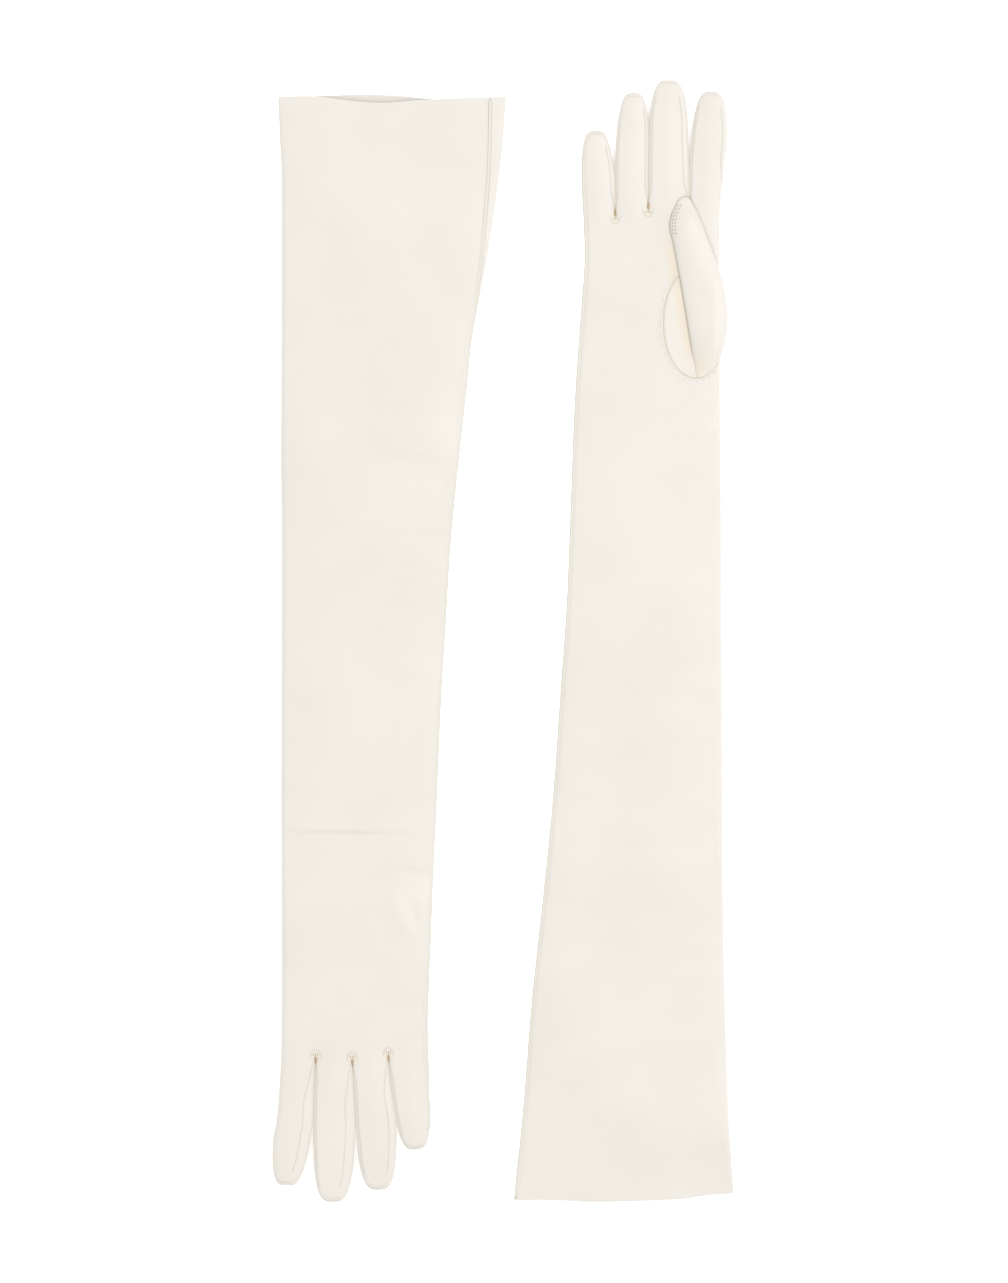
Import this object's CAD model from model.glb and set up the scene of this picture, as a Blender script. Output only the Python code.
"""A pair of ivory leather opera gloves, laid flat side by side.

The left glove lies back up with its thumb tucked beneath, the right one palm up with its thumb
folded over the palm. Each glove is one flattened leather tube that forks into four finger stalls,
cut along the wrist into a sleeve and a hand so that every joint bends a single piece of leather.

Lengths are millimetres in a glove's own frame until Lay.place() puts them in the row frame:
x runs from the folded thumb edge to the sewn edge, d from the middle fingertip to the cuff.
"""

import logging
import math
from dataclasses import dataclass, field
from enum import Enum
from typing import Callable, Sequence

import bmesh
import bpy
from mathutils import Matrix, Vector, kdtree, noise


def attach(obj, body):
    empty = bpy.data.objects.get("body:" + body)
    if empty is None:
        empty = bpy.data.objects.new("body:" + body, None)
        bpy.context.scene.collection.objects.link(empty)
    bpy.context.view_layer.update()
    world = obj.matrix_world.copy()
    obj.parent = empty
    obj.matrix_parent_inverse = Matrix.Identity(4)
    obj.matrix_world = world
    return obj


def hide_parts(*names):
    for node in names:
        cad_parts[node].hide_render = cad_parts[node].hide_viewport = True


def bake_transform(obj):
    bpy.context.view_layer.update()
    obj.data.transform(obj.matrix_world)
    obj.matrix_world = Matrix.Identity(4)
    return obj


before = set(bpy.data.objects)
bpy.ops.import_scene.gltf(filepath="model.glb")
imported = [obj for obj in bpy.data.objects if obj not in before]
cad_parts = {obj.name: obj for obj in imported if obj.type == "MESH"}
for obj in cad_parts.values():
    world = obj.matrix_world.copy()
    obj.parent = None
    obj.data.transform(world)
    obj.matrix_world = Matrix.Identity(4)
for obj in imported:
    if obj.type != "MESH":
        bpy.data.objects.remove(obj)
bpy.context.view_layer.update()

logging.basicConfig(level=logging.INFO, format="%(message)s")
log = logging.getLogger("opera_gloves")

MM = 0.001

# Half the distance between the thumb edges of the two gloves, and half their length
HALF_PAIR = 132.0
HALF_LENGTH = 336.0
# The line across the wrist that the sleeve and the hand bend on, and where the leather is divided
WRIST_FOLD = 220.0
SLEEVE_END = 200.0
# Level of the flattened edge above the surface, and the half thickness of a folded edge
EDGE_LEVEL = 3.5
EDGE_RADIUS = 3.3
LEATHER = 0.7
# The silk lining, and the gap between it and the leather
LINING = 0.3
LINING_GAP = 0.15
# The turned hem: how deep it is, how thick, and its gap; the lining ends a little inside it
HEM_DEPTH = 14.0
HEM = 0.6
HEM_GAP = 0.1
LINING_SHORT = 13.0
# How square the thumb's section is across: 1 is an ellipse, less is squarer
THUMB_SQUARE = 0.86


class Side(Enum):
    """Which hand a glove is for."""

    LEFT = "left"
    RIGHT = "right"


class Face(Enum):
    """The two sheets of leather in a glove that lies flat."""

    TOP = 1
    UNDER = -1


def smooth(t: float) -> float:
    """Eases from 0 to 1 as t does, and holds outside.

    Args:
        t: how far along.

    Returns:
        The eased share.
    """
    t = min(1.0, max(0.0, t))
    return t * t * (3 - 2 * t)


def bell(t: float) -> float:
    """A smooth hump of height 1 at t = 0 that ends at t = -1 and 1."""
    return (1 - t * t) ** 2 if abs(t) < 1 else 0.0


def lerp(a: float, b: float, t: float) -> float:
    """The value a share t of the way from a to b."""
    return a + (b - a) * t


class Curve:
    """A smooth curve through a few stations, level beyond its ends."""

    def __init__(self, *stations: tuple[float, ...]) -> None:
        """Keeps the stations in order.

        Args:
            stations: (place, value, value...) each.
        """
        self.stations = sorted(stations)

    def __call__(self, at: float, column: int = 1) -> float:
        """Reads the curve.

        Args:
            at: the place.
            column: which of the station's values to read.

        Returns:
            The value there.
        """
        s = self.stations
        if at <= s[0][0]:
            return s[0][column]
        if at >= s[-1][0]:
            return s[-1][column]
        i = max(k for k in range(len(s) - 1) if s[k][0] <= at)
        a, b = s[i], s[i + 1]
        before, after = s[max(0, i - 1)], s[min(len(s) - 1, i + 2)]
        span = b[0] - a[0]
        slope_a = (b[column] - before[column]) / (b[0] - before[0])
        slope_b = (after[column] - a[column]) / (after[0] - a[0])
        t = (at - a[0]) / span
        return (
            (2 * t**3 - 3 * t**2 + 1) * a[column]
            + (t**3 - 2 * t**2 + t) * span * slope_a
            + (3 * t**2 - 2 * t**3) * b[column]
            + (t**3 - t**2) * span * slope_b
        )


# ---------------------------------------------------------------- finishes


def linear(hex_colour: str) -> tuple[float, float, float, float]:
    """Turns an sRGB hex colour into linear light.

    Args:
        hex_colour: six hex digits.

    Returns:
        Red, green, blue and alpha.
    """
    parts = [int(hex_colour[i : i + 2], 16) / 255 for i in (0, 2, 4)]
    light = [c / 12.92 if c <= 0.04045 else ((c + 0.055) / 1.055) ** 2.4 for c in parts]
    return (*light, 1.0)


def node(
    tree: bpy.types.NodeTree,
    kind: str,
    settings: dict[str, object] | None = None,
    inputs: dict[str | int, object] | None = None,
) -> bpy.types.Node:
    """Adds a node with its settings, and links or fills its inputs.

    Args:
        tree: the material's node tree.
        kind: the node's type name.
        settings: attributes of the node.
        inputs: a value, or the socket that feeds the input.

    Returns:
        The node.
    """
    made = tree.nodes.new(kind)
    for name, value in (settings or {}).items():
        setattr(made, name, value)
    for name, value in (inputs or {}).items():
        if isinstance(value, bpy.types.NodeSocket):
            tree.links.new(value, made.inputs[name])
        else:
            made.inputs[name].default_value = value
    return made


@dataclass(frozen=True)
class Finish:
    """A surface of the gloves, as a maker would name it."""

    name: str
    colour: str
    shade: str
    hollow: str
    roughness: float
    sheen: float
    sheen_tint: str
    # Size of the grain or of a thread, and how deep it is, in millimetres
    grain: float
    depth: float
    subsurface: float = 0.0
    woven: bool = False

    def material(self) -> bpy.types.Material:
        """Builds the node material, or returns it if it is there already.

        Returns:
            The material.
        """
        known = bpy.data.materials.get(self.name)
        if known:
            return known
        material = bpy.data.materials.new(self.name)
        material.use_nodes = True
        tree = material.node_tree
        tree.nodes.clear()
        place = node(tree, "ShaderNodeTexCoord").outputs["Object"]
        per_metre = 1 / (self.grain * MM)
        # Broad clouds of the hide's colour, some 60 mm across
        clouds = node(tree, "ShaderNodeTexNoise", inputs={
            "Vector": place, "Scale": 1 / (60 * MM), "Detail": 3.0, "Roughness": 0.55})
        cloud_share = node(tree, "ShaderNodeMapRange", inputs={
            "Value": clouds.outputs["Fac"], "From Min": 0.35, "From Max": 0.65})
        tint = node(tree, "ShaderNodeMix", {"data_type": "RGBA"}, {
            0: cloud_share.outputs["Result"], 6: linear(self.colour), 7: linear(self.shade)})
        # Leather darkens where the sheets meet: the piece carries that as an attribute
        crease = node(tree, "ShaderNodeAttribute", {"attribute_name": "crease"})
        base = node(tree, "ShaderNodeMix", {"data_type": "RGBA"}, {
            0: crease.outputs["Fac"], 6: tint.outputs[2], 7: linear(self.hollow)})
        if self.woven:
            across, along = (
                node(tree, "ShaderNodeTexWave", {"bands_direction": way}, {
                    "Vector": place, "Scale": per_metre / 20, "Distortion": 0.6, "Detail": 1.0}).outputs["Fac"]
                for way in "XY"
            )
            relief = node(tree, "ShaderNodeMath", {"operation": "MAXIMUM"}, {0: across, 1: along}).outputs[0]
        else:
            pebbles = node(tree, "ShaderNodeTexVoronoi", {"feature": "SMOOTH_F1"}, {
                "Vector": place, "Scale": per_metre, "Smoothness": 0.6})
            pores = node(tree, "ShaderNodeTexNoise", inputs={
                "Vector": place, "Scale": per_metre * 2.2, "Detail": 4.0})
            relief = node(tree, "ShaderNodeMath", {"operation": "MULTIPLY_ADD"}, {
                0: pebbles.outputs["Distance"], 1: 0.6, 2: pores.outputs["Fac"]}).outputs[0]
        bump = node(tree, "ShaderNodeBump", inputs={
            "Strength": 0.5, "Distance": self.depth * MM, "Height": relief})
        gloss = node(tree, "ShaderNodeMapRange", inputs={
            "Value": clouds.outputs["Fac"], "To Min": self.roughness - 0.06, "To Max": self.roughness + 0.06})
        shader = node(tree, "ShaderNodeBsdfPrincipled", inputs={
            "Base Color": base.outputs[2],
            "Roughness": gloss.outputs["Result"],
            "IOR": 1.47,
            "Normal": bump.outputs["Normal"],
            "Sheen Weight": self.sheen,
            "Sheen Roughness": 0.45,
            "Sheen Tint": linear(self.sheen_tint),
            "Subsurface Weight": self.subsurface,
            "Subsurface Radius": (0.0012, 0.0009, 0.0006),
            "Subsurface Scale": 1.0,
        })
        node(tree, "ShaderNodeOutputMaterial", inputs={"Surface": shader.outputs["BSDF"]})
        return material


# Nappa lambskin, drum-dyed ivory: smooth, hardly any pore, a soft low shine
NAPPA = Finish("ivory_nappa_leather", "CEC9C2", "CBC7BF", "CFBA9C", 0.52, 0.06, "FFFDF6", 0.45, 0.02)
# The skived edge of the same hide in the sewn welts, a touch warmer
WELT = Finish("ivory_nappa_welt", "CBC7BE", "C8C4B9", "BDAA86", 0.5, 0.06, "FFFDF6", 0.35, 0.015)
# Plain silk habotai: an even, slightly yellow lining. Its 0.2 mm threads are drawn as ribs 3 mm apart
SILK = Finish("ivory_silk_lining", "DDD9CF", "D8D3C6", "C8BA9C", 0.42, 0.2, "FFF8E6", 0.5, 0.02, 0.0, True)
# Two-ply silk glove thread, pulled tight, so its hollows are tan
THREAD = Finish("silk_sewing_thread", "D6CCB4", "CDBFA0", "8F7648", 0.45, 0.1, "FFF6E0", 0.2, 0.02)


# ---------------------------------------------------------------- how the gloves lie


@dataclass(frozen=True)
class Finger:
    """One finger stall as it lies: its two edges, its tip and its sewn lines."""

    name: str
    low: Curve
    high: Curve
    tip_x: float
    tip: float
    # Distance of the sewn lines from the low and the high edge; nothing where leather is folded
    insets: tuple[float | None, float | None]
    # The stall narrows over this length to a blunt tip
    cap: float = 30.0
    # How square the tip is across and along, and how far across its end reaches
    bulge: float = 3.5
    taper: float = 1.8
    end: float = 0.6

    def edges(self, d: float) -> tuple[float, float]:
        """The stall's two edges.

        Args:
            d: distance along.

        Returns:
            x of the low and of the high edge.
        """
        start = self.tip + self.cap
        if d >= start:
            return self.low(d), self.high(d)
        v = min(1.0, (start - d) / self.cap)
        half = (self.high(start) - self.low(start)) / 2 * (1 - v**self.taper) ** (1 / self.bulge)
        middle = lerp((self.high(start) + self.low(start)) / 2, self.tip_x, v)
        return middle - half, middle + half

    def point(self, across: float, along: float, root: float) -> tuple[float, float]:
        """A place on the stall.

        Args:
            across: -1 at the low edge, 1 at the high edge.
            along: 0 at the root, 1 where the rounded tip starts, 2 at the tip.
            root: distance of the root at this place across.

        Returns:
            x and d.
        """
        start = self.tip + self.cap
        if along <= 1:
            d = lerp(root, start, along)
            return lerp(self.low(d), self.high(d), (across + 1) / 2), d
        corner = (1 - self.end**self.bulge) ** (1 / self.taper)
        v = (along - 1) * (1 - abs(self.end * across) ** self.bulge) ** (1 / self.taper)
        narrow = (1 - (corner * (along - 1)) ** self.taper) ** (1 / self.bulge)
        half = (self.high(start) - self.low(start)) / 2
        middle = lerp((self.high(start) + self.low(start)) / 2, self.tip_x, v)
        return middle + half * across * narrow, start - self.cap * v


@dataclass(frozen=True)
class Crease:
    """A soft valley or ridge in the top sheet, along a line."""

    x0: float
    d0: float
    x1: float
    d1: float
    width: float
    height: float

    def at(self, x: float, d: float) -> float:
        """Height of the crease at a place."""
        ax, ad = self.x1 - self.x0, self.d1 - self.d0
        run = math.hypot(ax, ad)
        t = ((x - self.x0) * ax + (d - self.d0) * ad) / run**2
        off = abs((x - self.x0) * ad - (d - self.d0) * ax) / run
        return self.height * bell(off / self.width) * bell(2 * t - 1) ** 0.5


@dataclass(frozen=True)
class Lay:
    """Where one glove lies, and how its outline runs."""

    side: Side
    cuff: float
    fold: Curve
    seam: Curve
    crotches: tuple[tuple[float, float], ...]
    fingers: tuple[Finger, ...]
    creases: tuple[Crease, ...]
    # How far the sewn line has turned away from the edge, by d
    seam_inset: Curve
    # How far the edge of the cuff stands back, by x, on the top and on the under sheet
    cuff_top: Curve
    cuff_under: Curve
    # How far the top sheet of the mouth stands open, by x
    mouth: Curve
    # How far the hand is raised by the thumb beneath it
    raise_by: float

    @property
    def palm(self) -> Face:
        """The sheet that carries the thumb."""
        return Face.UNDER if self.side is Side.LEFT else Face.TOP

    def lift(self, d: float) -> float:
        """Height of the hand's underside at a distance from the fingertip."""
        return self.raise_by * smooth((WRIST_FOLD - 3 - d) / 37)

    def place(self, x: float, d: float, z: float) -> Vector:
        """Puts a point of the glove in the row frame.

        Args:
            x: across the glove.
            d: distance from the middle fingertip.
            z: height above the surface.

        Returns:
            The point in metres.
        """
        if self.side is Side.LEFT:
            return Vector((x - HALF_PAIR, d - HALF_LENGTH, z)) * MM
        return Vector((HALF_PAIR - x, HALF_LENGTH - d, z)) * MM


LEFT_LAY = Lay(
    side=Side.LEFT,
    cuff=663.6,
    fold=Curve((49, -3.6), (61, -2.7), (88, -0.9), (157, -0.5), (229, -1.2), (301, -1.1), (397, -0.9),
               (445, -1.4), (517, -1.1), (613, -1), (637, -2), (664, -2.9)),
    seam=Curve((61, 87.9), (88, 87.2), (109, 86.7), (157, 88.5), (205, 90.3), (229, 91.5), (301, 94.6),
               (349, 97.5), (397, 100.5), (445, 105.3), (493, 110.6), (517, 113.1), (565, 122.1),
               (613, 129.3), (637, 131.7), (664, 133.7)),
    crotches=((19.7, 86.4), (41.6, 85.0), (63.2, 87.6)),
    fingers=(
        Finger("index", Curve((30, -6.6), (37, -6.3), (49, -3.9), (61, -2.7), (90, -0.9)),
               Curve((30, 14.6), (37, 16.0), (47, 18.05), (57, 18.35), (69, 18.7), (86.4, 19.7)),
               2.2, 10.5, (None, 6.2)),
        Finger("middle", Curve((21, 18.9), (37, 18.3), (47, 18.15), (57, 18.4), (69, 18.75), (86.4, 19.7)),
               Curve((21, 42.0), (37, 43.1), (47, 43.5), (60, 42.9), (75, 42.0), (85, 41.6)), 30.0, 0.9, (2.0, 5.8)),
        Finger("ring", Curve((28, 45.6), (37, 44.6), (47, 43.6), (60, 42.95), (75, 42.05), (85, 41.6)),
               Curve((28, 67.6), (37, 68.0), (49, 67.9), (55, 66.9), (65, 65.4), (79, 63.7), (87.6, 63.2)),
               57.2, 8.1, (2.0, 4.6)),
        Finger("little", Curve((49, 68.6), (55, 67.0), (65, 65.45), (79, 63.75), (87.6, 63.2)),
               Curve((50, 87.6), (61, 87.9), (76, 87.4), (92, 87.1)), 79.5, 32.1, (2.0, None)),
    ),
    creases=(
        Crease(-8, 221, 80, 220, 2.4, -0.65),
        Crease(-6, 224, 76, 224.5, 4.5, 0.45),
        Crease(66, 206, 86, 199, 2.4, -0.5),
        Crease(62, 201, 90, 194, 4.0, 0.5),
        Crease(64, 190, 74, 160, 5.0, 0.6),
        Crease(74, 186, 84, 158, 4.0, -0.4),
        Crease(58, 176, 62, 150, 6.0, -0.35),
        Crease(42, 448, 104, 434, 12.0, -0.9),
        Crease(40, 470, 108, 458, 11.0, 0.6),
        Crease(20, 430, 100, 424, 9.0, 0.35),
        Crease(0, 398, 96, 402, 6.0, -0.3),
        Crease(10, 536, 112, 528, 8.0, 0.3),
        Crease(0, 551, 80, 548, 5.0, -0.22),
    ),
    seam_inset=Curve((0, 1.1), (500, 1.1), (529, 1.5), (560, 3.2), (610, 6.4), (664, 9.6)),
    cuff_top=Curve((-3, 1.0), (20, 0.9), (40, 3.4), (57, 4.7), (80, 3.2), (100, 2.2), (118, 1.6), (134, 0.9)),
    cuff_under=Curve((-3, 1.0), (20, 0.5), (48, -0.4), (70, 0.4), (92, 2.6), (104, 3.2), (118, 1.8), (134, 0.9)),
    mouth=Curve((10, 0.0), (30, 0.1), (57, 0.4), (84, 0.1), (100, 0.0)),
    raise_by=8.25,
)

RIGHT_LAY = Lay(
    side=Side.RIGHT,
    cuff=671.4,
    fold=Curve((48, -0.7), (59, 0.3), (71, 2.0), (84, 2.4), (107, 2.5), (131, 2.2), (191, 2.1), (251, 1.5),
               (371, 0.9), (491, 0.3), (551, -0.9), (611, -2.7), (648, -4.6), (672, -5.9)),
    seam=Curve((59, 84.9), (71, 84.7), (84, 83.9), (107, 83.2), (131, 84.9), (191, 89.1), (251, 91.5),
               (311, 93.9), (371, 98.1), (431, 102.4), (491, 108.4), (551, 114.9), (611, 119.7), (672, 125.8)),
    crotches=((20.7, 75.3), (45.3, 75.9), (65.1, 80.1)),
    fingers=(
        Finger("index", Curve((26, -1.9), (37, -2.1), (48, -0.9), (59, 0.3), (75, 2.1)),
               Curve((26, 18.2), (37, 19.5), (45, 20.3), (52, 20.7), (75.3, 20.7)), 7.2, 6.3, (3.0, 1.9)),
        Finger("middle", Curve((20, 21.4), (37, 21.3), (45, 21.0), (52, 20.75), (75.3, 20.7)),
               Curve((20, 44.0), (27, 44.6), (37, 44.9), (48, 45.1), (75.9, 45.3)), 32.9, -0.4, (3.6, 2.0)),
        Finger("ring", Curve((27, 45.1), (37, 45.0), (48, 45.15), (75.9, 45.3)),
               Curve((27, 63.9), (37, 64.6), (48, 65.0), (57, 65.1), (80.1, 65.1)), 53.9, 7.3, (2.0, 1.9)),
        Finger("little", Curve((46, 67.4), (52, 66.2), (58, 65.2), (80.1, 65.1)),
               Curve((50, 84.4), (59, 84.9), (71, 84.7), (80, 84.1)), 77.0, 29.8, (2.6, None)),
    ),
    creases=(
        Crease(4, 186, 30, 198, 3.6, 0.6),
        Crease(3, 193, 28, 205, 2.8, -0.6),
        Crease(4, 205, 20, 214, 4.0, 0.4),
        Crease(36, 118, 60, 104, 8.0, -0.4),
        Crease(38, 136, 80, 128, 9.0, 0.45),
        Crease(40, 160, 84, 168, 8.0, -0.35),
        Crease(12, 300, 92, 308, 9.0, 0.35),
        Crease(6, 372, 90, 366, 8.0, -0.35),
        Crease(10, 468, 100, 476, 12.0, 0.4),
        Crease(20, 560, 108, 548, 14.0, -0.4),
    ),
    seam_inset=Curve((0, 1.1), (672, 1.1)),
    cuff_top=Curve((-6, 4.6), (10, 3.4), (24, 1.4), (50, 0.2), (80, -0.4), (100, 0.5), (126, 0.6)),
    cuff_under=Curve((-6, 4.6), (10, 3.6), (24, 1.8), (50, 0.8), (80, 0.4), (100, 0.6), (126, 0.6)),
    mouth=Curve((0, 0.0), (60, 0.3), (110, 0.0)),
    raise_by=0.0,
)


# ---------------------------------------------------------------- the leather skin


class Region(Enum):
    """The pieces that the skin of a glove is divided into."""

    SLEEVE = 0
    HAND = 1
    INDEX = 2
    MIDDLE = 3
    RING = 4
    LITTLE = 5


@dataclass
class Oval:
    """The oval seam that sets the thumb into the palm."""

    x: float = 16.9
    d: float = 145.2
    across: float = 19.3
    along: float = 33.1

    def reach(self, x: float, d: float) -> float:
        """0 at the middle of the oval, 1 on its seam."""
        return math.hypot((x - self.x) / self.across, (d - self.d) / self.along)


OVAL = Oval()


@dataclass
class Skin:
    """The whole outside of one glove, as a bmesh of two sheets joined around their outline."""

    lay: Lay
    columns: int = 16
    sleeve_rows: int = 260
    hand_rows: int = 74
    stall_rows: int = 34
    bm: bmesh.types.BMesh = field(default_factory=bmesh.new)

    def arm_share(self, u: float) -> float:
        """Share of the arm's width at a column: the columns gather near the two edges."""
        return u - 0.72 * math.sin(2 * math.pi * u) / (2 * math.pi)

    def root(self, u: float) -> tuple[float, float]:
        """The place on the line of the finger roots.

        Args:
            u: share of the columns, 0 to 1, a quarter for each finger.

        Returns:
            x and d.
        """
        k = min(3, int(u * 4 + 1e-9))
        across = -math.cos(math.pi * (u * 4 - k))
        finger = self.lay.fingers[k]
        ends = [self.lay.crotches[0][1], *(c[1] for c in self.lay.crotches), self.lay.crotches[2][1]]
        d = lerp(ends[k], ends[k + 1], (across + 1) / 2)
        return lerp(finger.low(ends[k]), finger.high(ends[k + 1]), (across + 1) / 2), d

    def grid(self, region: Region, columns: int, rows: int,
             where: Callable[[float, float], tuple[float, float]]) -> None:
        """Adds a flat grid of leather to the top sheet.

        Args:
            region: the piece it belongs to.
            columns: faces across.
            rows: faces along.
            where: place of a point from its shares across and along.
        """
        made = bmesh.ops.create_grid(self.bm, x_segments=columns, y_segments=rows, size=1)["verts"]
        low, high = min(v.co.x for v in made), max(v.co.x for v in made)
        for v in made:
            u, t = ((c - low) / (high - low) for c in (v.co.x, v.co.y))
            x, d = where(round(u * columns) / columns, round(t * rows) / rows)
            v.co = Vector((x, d, 0))
        layer = self.bm.faces.layers.int.get("region") or self.bm.faces.layers.int.new("region")
        for face in {f for v in made for f in v.link_faces}:
            face[layer] = region.value

    def flat_sheet(self) -> None:
        """Lays out the top sheet: sleeve, hand and four stalls, welded where they meet."""
        lay = self.lay
        wide = 4 * self.columns

        def across(d: float, share: float) -> float:
            return lerp(lay.fold(d), lay.seam(d), share)

        def sleeve(u: float, t: float) -> tuple[float, float]:
            # The rows are closer near the wrist, where it bends
            d = lerp(SLEEVE_END, lay.cuff, t**1.25)
            return across(d, self.arm_share(u)), d

        def hand(u: float, t: float) -> tuple[float, float]:
            x, d_root = self.root(u)
            share = (x - lay.fold(d_root)) / (lay.seam(d_root) - lay.fold(d_root))
            d = lerp(SLEEVE_END, d_root, t)
            return across(d, lerp(self.arm_share(u), share, smooth(t) ** 0.8)), d

        self.grid(Region.SLEEVE, wide, self.sleeve_rows, sleeve)
        self.grid(Region.HAND, wide, self.hand_rows, hand)
        for k, finger in enumerate(lay.fingers):

            def stall(u: float, t: float, k: int = k, finger: Finger = finger) -> tuple[float, float]:
                root = self.root(k / 4 + min(u, 1 - 1e-7) / 4)
                if t == 0:
                    return root
                return finger.point(-math.cos(math.pi * u), 2 * t, root[1])

            self.grid(Region(2 + k), self.columns, self.stall_rows, stall)
        bmesh.ops.remove_doubles(self.bm, verts=self.bm.verts, dist=0.01)

    def measure_edges(self) -> None:
        """Writes each point's distance from the outline into its height."""
        cuff = self.lay.cuff - 0.01
        outline = [e for e in self.bm.edges if e.is_boundary and not all(v.co.y > cuff for v in e.verts)]
        samples = []
        for edge in outline:
            a, b = (v.co.copy() for v in edge.verts)
            count = max(1, math.ceil((a - b).length / 0.4))
            samples += [a.lerp(b, i / count) for i in range(count + 1)]
        tree = kdtree.KDTree(len(samples))
        for i, point in enumerate(samples):
            tree.insert(point, i)
        tree.balance()
        on_outline = {v for e in outline for v in e.verts}
        reach = {v: 0.0 if v in on_outline else tree.find(v.co)[2] for v in self.bm.verts}
        for v, distance in reach.items():
            v.co.z = distance

    def relief(self, x: float, d: float) -> float:
        """Height of the soft waves and creases of the top sheet."""
        seed = 3.0 if self.lay.side is Side.LEFT else 11.0
        broad = noise.noise(Vector((x / 46, d / 62, seed))) * 0.75
        drape = noise.noise(Vector((x / 70, d / 16, seed + 5))) * 0.4
        # The left arm is rucked below the elbow, so it has finer wrinkles there
        rucked = bell((d - 455) / 130) * (self.lay.side is Side.LEFT)
        fine = noise.noise(Vector((x / 30, d / 5.5, seed + 9))) * lerp(0.07, 0.26, rucked)
        arm = smooth((d - 120) / 120)
        return (broad + drape * arm) * lerp(0.55, 1.0, arm) + fine + sum(c.at(x, d) for c in self.lay.creases)

    def thumb_bed(self, x: float, d: float) -> float:
        """Height of the palm around the thumb: a low valley inside the oval seam, and a raised rim."""
        reach = OVAL.reach(x, d)
        valley = -1.7 * smooth((1.0 - reach) / 0.7)
        rim = 0.4 * bell((reach - 1.04) / 0.14)
        return valley + rim

    def height(self, x: float, d: float, s: float, face: Face) -> float:
        """Height of a sheet.

        Args:
            x: place across.
            d: place along.
            s: distance from the outline.
            face: which sheet.

        Returns:
            The height above the surface.
        """
        lay = self.lay
        level = lay.lift(d) + EDGE_LEVEL
        # Between the stalls the sheets turn down sharply, over the fourchettes
        turn = lerp(0.5, 0.22, self.between(x, d))
        bow = EDGE_RADIUS * (1 - (1 - min(s, EDGE_RADIUS) / EDGE_RADIUS) ** 2) ** turn
        bed = self.thumb_bed(x, d) * smooth(s / 4) if face is lay.palm else 0.0
        # The fourchettes hold the rims up, so the slits between the fingers are shallow
        held = 2.0 * self.between(x, d) * (1 - smooth(s / 2.5))
        if face is Face.UNDER:
            return level - bow - bed + held
        puff = 1 - math.exp(-max(0.0, s - EDGE_RADIUS) / 10)
        flat = smooth((d - lay.cuff + 60) / 60)
        bow *= 1 - 0.85 * flat * (face is Face.TOP)
        puff *= 1 - 0.5 * flat
        mouth = lay.mouth(x) * smooth((d - lay.cuff + 70) / 70) * smooth(s / 10)
        return level + max(bow, held) + puff + self.relief(x, d) * smooth(s / 7) + bed + mouth

    def surface(self, x: float, d: float, s: float, face: Face = Face.TOP) -> Vector:
        """A point on a sheet, in the row frame.

        Args:
            x: place across.
            d: place along.
            s: distance from the outline.
            face: which sheet.

        Returns:
            The point in metres.
        """
        lay = self.lay
        back = (lay.cuff_top if face is Face.TOP else lay.cuff_under)(x)
        shifted = d - back * smooth((d - lay.cuff + 45) / 45)
        return lay.place(x, shifted, self.height(x, d, s, face))

    def build(self) -> "Skin":
        """Makes both sheets, joins them, and keeps each point's shade and smooth normal.

        Returns:
            The skin itself.
        """
        bm = self.bm
        self.flat_sheet()
        self.measure_edges()
        crease = bm.verts.layers.float.new("crease")
        normals = bm.verts.layers.float_vector.new("smooth_normal")
        top = set(bm.verts)
        bmesh.ops.duplicate(bm, geom=bm.verts[:] + bm.edges[:] + bm.faces[:])
        rim = []
        for v in bm.verts:
            x, d, s = v.co
            face = Face.TOP if v in top else Face.UNDER
            v[crease] = self.shade(x, d, s, face)
            if s == 0:
                rim.append(v)
            v.co = self.surface(x, d, s, face)
        bmesh.ops.remove_doubles(bm, verts=rim, dist=0.02 * MM)
        bmesh.ops.recalc_face_normals(bm, faces=bm.faces)
        bm.normal_update()
        highest = max(bm.faces, key=lambda f: f.calc_center_median().z)
        if highest.normal.z < 0:
            bmesh.ops.reverse_faces(bm, faces=bm.faces)
            bm.normal_update()
        for v in bm.verts:
            v[normals] = v.normal
        return self

    def between(self, x: float, d: float) -> float:
        """1 among the stalls, 0 at the glove's outer edges and over the hand."""
        root = min(c[1] for c in self.lay.crotches)
        return (smooth((root + 12 - d) / 10) * smooth((x - self.lay.fold(d) - 5) / 5)
                * smooth((self.lay.seam(d) - x - 5) / 5))

    def shade(self, x: float, d: float, s: float, face: Face) -> float:
        """How deep in a fold a point lies, 0 to 1, for the leather's warm hollows."""
        root = min(c[1] for c in self.lay.crotches)
        slit = 0.2 * self.between(x, d) * smooth((d - root + 50) / 45) * (1 - smooth(s / 1.6))
        pit = max(bell(math.hypot(x - c[0], d - c[1]) / 3.6) for c in self.lay.crotches)
        # The dye is a touch deeper along the pressed edges
        edge = 0.12 * (1 - smooth(s / 0.9))
        value = max(slit, 0.5 * pit, edge)
        if face is self.lay.palm:
            # Warmest beside the thumb, along the line where it leaves the palm
            line = 17.5 + (173.7 - d) * 0.1727
            aside = x - line
            value = max(value, 0.4 * bell(aside / 8.5) * smooth((178 - d) / 20) * smooth((d - 84) / 22))
        return value

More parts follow.
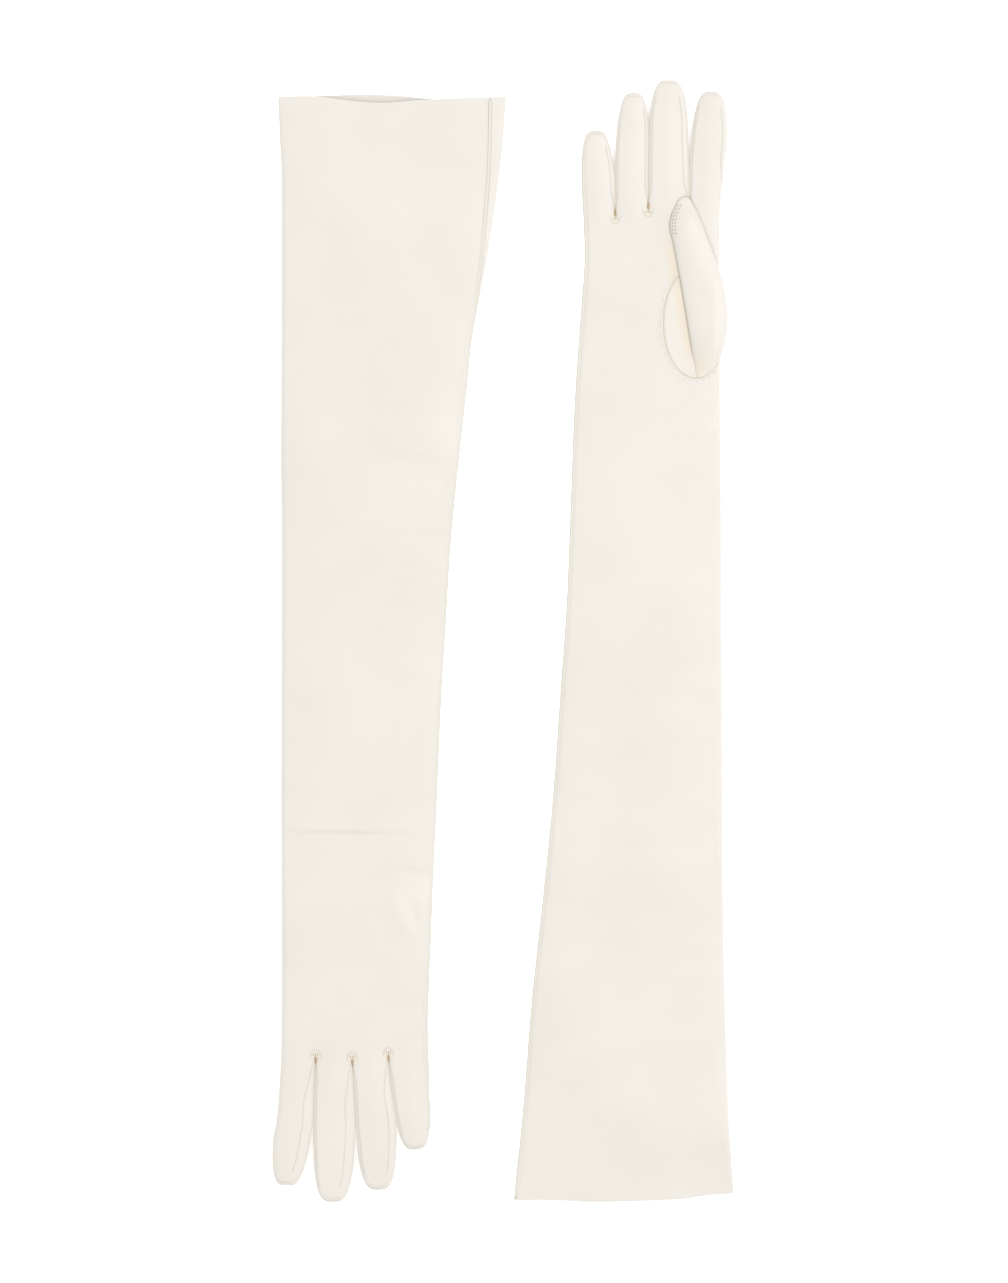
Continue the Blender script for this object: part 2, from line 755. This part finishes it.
    def leather(self, name: str, region: Region, finish: Finish, inset: float = 0.0, thickness: float = LEATHER,
                keep: Callable[[float], bool] | None = None) -> bpy.types.Object:
        """Cuts one piece out of the skin and gives it thickness.

        Args:
            name: the piece's name.
            region: which part of the skin.
            finish: its surface.
            inset: how far inside the skin it lies, for linings and the hem.
            thickness: its own thickness.
            keep: says from the distance d of a face whether it belongs.

        Returns:
            The finished object.
        """
        part = self.bm.copy()
        regions = part.faces.layers.int["region"]
        sign = 1 if self.lay.side is Side.LEFT else -1

        def away(face: bmesh.types.BMFace) -> bool:
            d = HALF_LENGTH + sign * face.calc_center_median().y / MM
            return face[regions] != region.value or (keep is not None and not keep(d))

        bmesh.ops.delete(part, geom=[f for f in part.faces if away(f)], context="FACES")
        layer = part.verts.layers.float_vector["smooth_normal"]
        normals = [v[layer].copy() for v in part.verts]
        for v, normal in zip(part.verts, normals):
            v.co -= normal * inset * MM
        mesh = bpy.data.meshes.new(name)
        part.to_mesh(mesh)
        part.free()
        obj = bpy.data.objects.new(name, mesh)
        bpy.context.scene.collection.objects.link(obj)
        add_wall(obj, thickness)
        solid = bpy.data.meshes.new_from_object(obj.evaluated_get(bpy.context.evaluated_depsgraph_get()))
        obj.modifiers.clear()
        obj.data = solid
        bpy.data.meshes.remove(mesh)
        solid.name = name
        solid.attributes.remove(solid.attributes["smooth_normal"])
        solid.attributes.remove(solid.attributes["region"])
        solid.polygons.foreach_set("use_smooth", [True] * len(solid.polygons))
        solid.materials.append(finish.material())
        solid.normals_split_custom_set_from_vertices([*normals, *(-n for n in normals)])
        return obj


# ---------------------------------------------------------------- sewn work


def ridge(bm: bmesh.types.BMesh, path: Sequence[Vector], radius: float, sides: int = 6, flat: float = 1.0) -> None:
    """Lays a rounded ridge along a path.

    Args:
        bm: where it is added.
        path: points in metres.
        radius: its radius, in millimetres.
        sides: faces around it.
        flat: its height as a share of its width.
    """
    ring = bmesh.ops.create_circle(bm, segments=sides, radius=radius * MM)["verts"]
    edges = list({e for v in ring for e in v.link_edges})
    up = Vector((0, 0, 1))
    first = ring
    for i, point in enumerate(path):
        along = (path[min(i + 1, len(path) - 1)] - path[max(0, i - 1)]).normalized()
        out = along.cross(up).normalized()
        above = out.cross(along)
        if i:
            grown = bmesh.ops.extrude_edge_only(bm, edges=edges)["geom"]
            edges = [g for g in grown if isinstance(g, bmesh.types.BMEdge)]
            new = [g for g in grown if isinstance(g, bmesh.types.BMVert)]
            lookup = {v: next(e.other_vert(v) for e in v.link_edges if e.other_vert(v) in set(ring)) for v in new}
            order = {old: k for k, old in enumerate(ring)}
            ring = sorted(new, key=lambda v: order[lookup[v]])
        for k, v in enumerate(ring):
            turn = 2 * math.pi * k / sides
            taper = 0.35 if i in (0, len(path) - 1) else 1.0
            v.co = point + (out * math.cos(turn) + above * math.sin(turn) * flat) * radius * taper * MM
    bmesh.ops.contextual_create(bm, geom=ring)
    bmesh.ops.contextual_create(bm, geom=first)


def stitch(bm: bmesh.types.BMesh, a: Vector, b: Vector, width: float = 0.45) -> None:
    """Adds one pulled stitch of thread.

    Args:
        bm: where it is added.
        a: where the thread comes up.
        b: where it goes down.
        width: width of the thread, in millimetres.
    """
    made = bmesh.ops.create_uvsphere(bm, u_segments=6, v_segments=4, radius=0.5)["verts"]
    along = b - a
    turn = along.to_track_quat("Z", "X").to_matrix()
    for v in made:
        local = Vector((v.co.x * width * MM, v.co.y * width * MM, v.co.z * along.length))
        v.co = turn @ local + (a + b) / 2


def finished(name: str, bm: bmesh.types.BMesh, finish: Finish) -> bpy.types.Object:
    """Turns a shape into a smooth object in the scene.

    Args:
        name: the piece's name.
        bm: its shape, which is freed.
        finish: its surface.

    Returns:
        The object.
    """
    mesh = bpy.data.meshes.new(name)
    bm.to_mesh(mesh)
    bm.free()
    mesh.polygons.foreach_set("use_smooth", [True] * len(mesh.polygons))
    mesh.materials.append(finish.material())
    obj = bpy.data.objects.new(name, mesh)
    bpy.context.scene.collection.objects.link(obj)
    return obj


def add_wall(obj: bpy.types.Object, thickness: float) -> None:
    """Gives a shell its thickness, in millimetres, inwards."""
    wall = obj.modifiers.new("wall", "SOLIDIFY")
    wall.thickness = thickness * MM
    wall.offset = -1


def sewn(name: str, bm: bmesh.types.BMesh, finish: Finish, shade: float = 0.0) -> bpy.types.Object:
    """Finishes a piece of sewn work.

    Args:
        name: the piece's name.
        bm: its shape, which is freed.
        finish: its surface.
        shade: how warm it is, 0 to 1.

    Returns:
        The object.
    """
    bmesh.ops.recalc_face_normals(bm, faces=bm.faces)
    crease = bm.verts.layers.float.new("crease")
    for v in bm.verts:
        v[crease] = shade
    return finished(name, bm, finish)


# ---------------------------------------------------------------- sub-assemblies


@dataclass
class Glove:
    """One glove: its leather, its linings, its sewn work and its thumb."""

    lay: Lay

    def __post_init__(self) -> None:
        """Makes the skin that every piece of leather is cut from."""
        self.skin = Skin(self.lay).build()
        self.prefix = f"{self.lay.side.value}_"

    def body(self, part: str) -> str:
        """Name of one of the glove's moving bodies."""
        return f"{self.prefix}glove_{part}"

    def at(self, x: float, d: float, z: float = 6.0) -> tuple[float, float, float]:
        return tuple(self.lay.place(x, d, z))

    def lay_on(self, obj: bpy.types.Object, part: str, slot: str, *nodes: str) -> None:
        """Says which body a piece rides or bends with, its slot and what it stands for.

        Args:
            obj: the finished piece.
            part: sleeve, hand, thumb or a finger.
            slot: the record's material slot.
            nodes: the CAD nodes it replaces, without the glove's prefix.
        """
        if part == "sleeve":
            self.at(45, 232)
            self.at(45, 208)
            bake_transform(obj)
        elif part == "thumb":
            self.at(15, 166)
            self.at(15, 132)
            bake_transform(obj)
        elif part == "hand":
            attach(obj, self.body("hand"))
        else:
            self.at(45, 68)
            self.at(45, 52)
            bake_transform(obj)
        if nodes:
            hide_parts(*(self.prefix + n for n in nodes))
        log.info("%s: %d faces", obj.name, len(obj.data.polygons))

    def leathers(self) -> None:
        """Cuts out the sleeve, the hand and the four stalls, each with its lining inside."""
        stalls = zip(Region, ("sleeve", "hand", "index", "middle", "ring", "little"))
        for region, part in stalls:
            finger = "_finger" if region.value > 1 else ""
            leather = self.skin.leather(f"{self.prefix}{part}{finger}_leather", region, NAPPA)
            self.lay_on(leather, part, "ivory_leather", f"{part}{finger}")
            lining = self.skin.leather(
                f"{self.prefix}{part}_lining_silk", region, SILK, inset=LEATHER + LINING_GAP, thickness=LINING,
                keep=lambda d: d < self.lay.cuff - LINING_SHORT,
            )
            self.lay_on(lining, part, "silk_lining", f"{part}_lining")

    def hem(self) -> None:
        """The leather turned in at the mouth."""
        hem = self.skin.leather(
            f"{self.prefix}cuff_hem_leather", Region.SLEEVE, NAPPA, inset=LEATHER + HEM_GAP, thickness=HEM,
            keep=lambda d: d > self.lay.cuff - HEM_DEPTH,
        )
        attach(hem, self.body("sleeve"))
        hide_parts(self.prefix + "cuff_hem")
        log.info("%s: %d faces", hem.name, len(hem.data.polygons))

    def along_edge(self, start: float, end: float, step: float) -> list[Vector]:
        """Points along the sewn edge.

        Args:
            start: first distance d.
            end: last distance d.
            step: spacing.

        Returns:
            Points on the top sheet.
        """
        points = []
        count = max(2, round(abs(end - start) / step))
        for i in range(count + 1):
            d = lerp(start, end, i / count)
            s = self.lay.seam_inset(d)
            points.append(self.skin.surface(self.lay.seam(d) - s, d, s))
        return points

    def side_seam(self) -> None:
        """The thin sewn band along the little-finger edge, from the mouth to the fingertip."""
        # Each length starts a little inside the one before it
        lengths = (("sleeve", SLEEVE_END - 3, self.lay.cuff - 0.5), ("hand", 85.0, SLEEVE_END + 3),
                   ("little", 44.0, 91.0))
        for part, start, end in lengths:
            bm = bmesh.new()
            ridge(bm, self.along_edge(start, end, 3.0), 1.15, flat=0.26)
            for d in range(int(start) + 2, int(end) - 1, 3):
                edge = self.lay.seam_inset(d) + 1.7
                a, b = (self.skin.surface(self.lay.seam(d) - edge, d + k, edge) for k in (-0.9, 0.9))
                stitch(bm, a, b, 0.24)
            seam = sewn(f"{self.prefix}{part}_side_seam", bm, WELT, 0.0)
            self.lay_on(seam, part, "ivory_leather", f"{part}_seam")

    def finger_seams(self) -> None:
        """The sewn lines beside the fourchettes, around each fingertip, on both sheets."""
        stands_for = {
            "index": ("index_fourchette",),
            "middle": ("middle_fourchette_inner", "middle_fourchette_outer"),
            "ring": ("ring_fourchette_inner", "ring_fourchette_outer"),
            "little": ("little_fourchette",),
        }
        crotches = [None, *self.lay.crotches, None]
        for k, finger in enumerate(self.lay.fingers):
            bm = bmesh.new()
            for face in Face:
                for side, inset in zip((-1, 1), finger.insets):
                    crotch = crotches[k] if side < 0 else crotches[k + 1]
                    if inset is None:
                        continue
                    root = crotch[1] if crotch else 62
                    widen = 6 + 4 * inset
                    path = []
                    for i in range(31):
                        d = lerp(root - 1.5, finger.tip + 9.0, i / 30)
                        away = inset * (0.25 + 0.75 * smooth((root - d) / widen))
                        path.append(self.on_finger(finger, side, away, d, face))
                    ridge(bm, path, 0.3, sides=5, flat=0.6)
            for i in range(25):
                across = lerp(-1, 1, i / 24)
                a, b = (self.around_tip(finger, across + k * 0.025, 2.0) for k in (-1, 1))
                stitch(bm, a, b, 0.26)
            seam = sewn(f"{self.prefix}{finger.name}_finger_seams", bm, WELT, 0.05)
            self.lay_on(seam, finger.name, "ivory_leather", *stands_for[finger.name])

    def on_finger(self, finger: Finger, side: int, inset: float, d: float, face: Face) -> Vector:
        """A point on a stall beside one of its edges.

        Args:
            finger: the stall.
            side: -1 for its low edge, 1 for its high edge.
            inset: distance in from the edge.
            d: distance along.
            face: which sheet.

        Returns:
            The point in metres.
        """
        low, high = finger.edges(d)
        x = low + inset if side < 0 else high - inset
        return self.skin.surface(x, d, inset, face)

    def around_tip(self, finger: Finger, across: float, inset: float) -> Vector:
        """A point inside the blunt end of a stall.

        Args:
            finger: the stall.
            across: -1 at its low corner, 1 at its high corner.
            inset: distance in from the edge.

        Returns:
            The point in metres.
        """
        x, d = finger.point(across, 2, 0)
        start = finger.tip + finger.cap
        middle = lerp((finger.high(start) + finger.low(start)) / 2, finger.tip_x, 0.9)
        return self.skin.surface(x + (middle - x) * inset / 9, d + inset, inset)

    def quirks(self) -> None:
        """The small gussets between the roots of the fingers, each with its crossed stitches."""
        bm = bmesh.new()
        thread = bmesh.new()
        for x, d in self.lay.crotches:
            loop = []
            for i in range(19):
                turn = lerp(-2.3, 2.3, i / 18)
                px = x + 3.7 * math.sin(turn) / (1 + 0.12 * abs(turn))
                pd = d + 0.6 + (5.0 if abs(turn) < math.pi / 2 else 9.0) * math.cos(turn)
                reach = max(0.9, 1.2 + (pd - d) * 0.45)
                loop.append(self.skin.surface(px, pd, reach))
            ridge(bm, loop, 0.42, sides=6, flat=0.8)
            for k in (-1, 0, 1):
                a = self.skin.surface(x + 0.9 * k, d + 1.8, 2.0)
                b = self.skin.surface(x + 1.7 * k, d + 4.0, 3.4)
                stitch(thread, a, b, 0.45)
            a = self.skin.surface(x, d - 3.2, 0.4)
            b = self.skin.surface(x, d + 1.6, 1.6)
            stitch(thread, a - Vector((0, 0, 0.4 * MM)), b, 1.1)
        crossed = sewn(f"{self.prefix}quirk_stitches", thread, THREAD, 0.7)
        self.lay_on(crossed, "hand", "ivory_leather")
        piece = sewn(f"{self.prefix}quirk_gussets", bm, WELT, 0.3)
        self.lay_on(piece, "hand", "ivory_leather", "quirks")

    def oval_seam(self) -> None:
        """The welt of the oval that sets the thumb into the palm."""
        bm = bmesh.new()
        path, stitches = [], []
        for i in range(73):
            turn = 2 * math.pi * i / 72
            x, d = OVAL.x + OVAL.across * math.cos(turn), OVAL.d + OVAL.along * math.sin(turn)
            x = max(x, self.lay.fold(d) + 1.2)
            s = x - self.lay.fold(d)
            path.append(self.skin.surface(x, d, s, self.lay.palm))
            outside = OVAL.x + (x - OVAL.x) * 1.1
            if outside > self.lay.fold(d) + 2:
                aside = OVAL.d + (d - OVAL.d) * 1.06
                stitches.append(self.skin.surface(outside, aside, s + 1, self.lay.palm))
        ridge(bm, path, 0.55, flat=0.7)
        for a, b in zip(stitches[::2], stitches[1::2]):
            stitch(bm, a, b, 0.3)
        seam = sewn(f"{self.prefix}thumb_oval_welt", bm, WELT, 0.2)
        self.lay_on(seam, "hand", "ivory_leather", "thumb_seam")

    def build(self) -> None:
        """Builds every piece of the glove in order."""
        self.leathers()
        self.hem()
        self.side_seam()
        self.finger_seams()
        self.quirks()
        self.oval_seam()
        Thumb(self).build()


@dataclass
class Thumb:
    """The set-in thumb: a closed stall that lies on the palm and widens to its oval mouth."""

    glove: Glove
    # By d: the edge on the palm side and the edge towards the fold
    inner: Curve = Curve((69.3, 24.6), (70.4, 26.4), (74.7, 28.8), (80.7, 31.4), (87.9, 32.3), (97.5, 30.3),
                         (107, 28.5), (126.3, 24.9), (147.9, 21.3), (167, 18.4), (174, 17.5), (178.3, 17.0))
    outer: Curve = Curve((69.3, 22.4), (70.4, 20.6), (74.7, 18.3), (79.5, 15.9), (87.9, 12.3), (96.3, 9.3),
                         (105.9, 5.7), (119.1, 0.9), (127.5, -0.9), (137.1, -2.1), (143.1, -2.5), (152.7, -1.5),
                         (161.1, 0.3), (165.9, 2.1), (171.9, 5.7), (176.7, 10.5), (178.3, 15.0))
    tip: float = 69.3
    mouth: float = 178.2
    # The thumb beneath the left hand lies this far further in
    shift: float = 3.2
    around: int = 44
    rows: int = 88

    def section(self, d: float, turn: float, inset: float = 0.0) -> Vector:
        """A point around the stall.

        Args:
            d: distance along.
            turn: angle around it.
            inset: how far inside the leather, in millimetres.

        Returns:
            The point in metres.
        """
        lay = self.glove.lay
        inner, outer = self.inner(d), self.outer(d)
        middle, half = (inner + outer) / 2, (inner - outer) / 2
        ends = smooth((d - self.tip + 1) / 20) * smooth((self.mouth + 4 - d) / 24)
        rise = lerp(0.35, 1.0, ends)
        c, s = math.cos(turn), math.sin(turn)
        across = math.copysign(abs(c) ** THUMB_SQUARE, c)
        x = middle + (half - inset) * across
        up = math.copysign(abs(s) ** (1.0 if s > 0 else 0.5), s)
        wave = noise.noise(Vector((x / 12, d / 19, 7.0))) * 0.35 * ends
        if lay.side is Side.LEFT:
            z = 3.6 + up * (2.75 * rise - inset) + (wave if up > 0 else 0.0)
            return lay.place(x + self.shift, d, z)
        bed = self.glove.skin.surface(max(x, lay.fold(d) + 3.6), d, 9.0).z / MM
        # It rests nearly flat on the palm, so its widest line is low and its underside shallow
        centre = bed + 1.2 * rise - smooth((d - 150) / 24)
        if up < 0:
            return lay.place(x, d, centre + up * max(0.1, rise - inset))
        return lay.place(x, d, centre + up * (3.1 * rise - inset) + wave + 0.5 * bell((x - middle) / half) * ends)

    def shell(self, name: str, finish: Finish, inset: float, thickness: float) -> bpy.types.Object:
        """The stall as a closed tube with a wall.

        Args:
            name: the piece's name.
            finish: its surface.
            inset: how far inside the leather's outside it lies.
            thickness: its wall.

        Returns:
            The object.
        """
        bm = bmesh.new()
        bmesh.ops.create_grid(bm, x_segments=self.around, y_segments=self.rows, size=1)
        crease = bm.verts.layers.float.new("crease")
        low = min(v.co.x for v in bm.verts)
        for v in bm.verts:
            u, t = (v.co.x - low) / (-2 * low), (v.co.y - low) / (-2 * low)
            ease = 0.5 - 0.5 * math.cos(math.pi * min(1.0, t))
            d = lerp(self.tip, self.mouth, lerp(ease, t, 0.75))
            round_tip = math.sqrt(max(0.0, 1 - (1 - min(1.0, (d - self.tip) / 2.5)) ** 2))
            point = self.section(max(d, self.tip + 0.05), 2 * math.pi * u, inset)
            centre = (self.section(d, 0, inset) + self.section(d, math.pi, inset)) / 2
            v[crease] = 0.35 * smooth((d - 150) / 30) * (1 if math.cos(2 * math.pi * u) > 0 else 0.2)
            v.co = centre + (point - centre) * max(0.02, round_tip)
        bmesh.ops.remove_doubles(bm, verts=bm.verts, dist=0.05 * MM)
        bmesh.ops.recalc_face_normals(bm, faces=bm.faces)
        obj = finished(name, bm, finish)
        add_wall(obj, thickness)
        return obj

    def build(self) -> None:
        """Builds the stall, its lining and its stitches."""
        glove = self.glove
        stall = self.shell(f"{glove.prefix}thumb_leather", NAPPA, 0.0, LEATHER)
        glove.lay_on(stall, "thumb", "ivory_leather", "thumb")
        lining = self.shell(f"{glove.prefix}thumb_lining_silk", SILK, LEATHER + LINING_GAP, LINING)
        glove.lay_on(lining, "thumb", "silk_lining", "thumb_lining")
        bm = bmesh.new()
        for i in range(9):
            d = 75 + i * 2.1
            for row in (1.5, 3.1):
                half = (self.inner(d) - self.outer(d)) / 2
                turn = math.acos(min(1.0, (1 - row / half)) ** (1 / THUMB_SQUARE))
                a, b = (self.section(d + k, turn, -0.1) for k in (-0.6, 0.6))
                stitch(bm, a, b, 0.42)
        thread = sewn(f"{glove.prefix}thumb_stitches", bm, THREAD, 0.8)
        glove.lay_on(thread, "thumb", "ivory_leather")


@dataclass
class Studio:
    """The pale surface, the soft lights and the camera above."""

    # The view takes in this much of the surface along the gloves, from this far above, in metres
    height: float = 0.7698
    above: float = 4.0
    sensor: float = 24.0

    def area(self, name: str, at: tuple[float, float, float], size: float, watts: float) -> None:
        """Adds a soft lamp that faces the gloves.

        Args:
            name: its name.
            at: its place.
            size: side of its square.
            watts: its strength.
        """
        lamp = bpy.data.lights.new(name, "AREA")
        lamp.size = size
        lamp.energy = watts
        obj = bpy.data.objects.new(name, lamp)
        obj.location = at
        obj.rotation_euler = (-Vector(at)).to_track_quat("-Z", "Y").to_euler()
        bpy.context.scene.collection.objects.link(obj)

    def build(self) -> None:
        """Lays the surface, hangs the lights and sets the camera."""
        bm = bmesh.new()
        bmesh.ops.create_grid(bm, x_segments=1, y_segments=1, size=3)
        mesh = bpy.data.meshes.new("table")
        bm.to_mesh(mesh)
        bm.free()
        table = bpy.data.objects.new("table", mesh)
        paper = bpy.data.materials.new("paper")
        paper.use_nodes = True
        shader = paper.node_tree.nodes["Principled BSDF"]
        shader.inputs["Base Color"].default_value = linear("FFFFFF")
        shader.inputs["Roughness"].default_value = 0.9
        shader.inputs["Specular IOR Level"].default_value = 0.1
        # The table glows like a light box, so the gloves cast hardly any shadow
        shader.inputs["Emission Color"].default_value = linear("FFFFFF")
        shader.inputs["Emission Strength"].default_value = 0.36
        mesh.materials.append(paper)
        bpy.context.scene.collection.objects.link(table)
        world = bpy.data.worlds.new("studio")
        world.use_nodes = True
        world.node_tree.nodes["Background"].inputs["Color"].default_value = (1.0, 1.0, 1.0, 1.0)
        world.node_tree.nodes["Background"].inputs["Strength"].default_value = 0.9
        bpy.context.scene.world = world
        self.area("key", (1.3, 0.5, 2.4), 1.6, 40.0)
        self.area("fill", (-1.5, -0.3, 2.4), 2.0, 14.0)
        lens = bpy.data.cameras.new("camera")
        lens.sensor_fit = "VERTICAL"
        lens.sensor_height = self.sensor
        lens.lens = self.sensor * self.above / self.height
        lens.clip_end = 20
        camera = bpy.data.objects.new("camera", lens)
        camera.location = (0.0003, 0.0, self.above)
        bpy.context.scene.collection.objects.link(camera)
        bpy.context.scene.camera = camera
        bpy.context.scene.view_settings.view_transform = "Standard"


def main() -> None:
    """Builds both gloves and the studio."""
    for lay in (LEFT_LAY, RIGHT_LAY):
        Glove(lay).build()
    Studio().build()


if __name__ == "__main__":
    main()
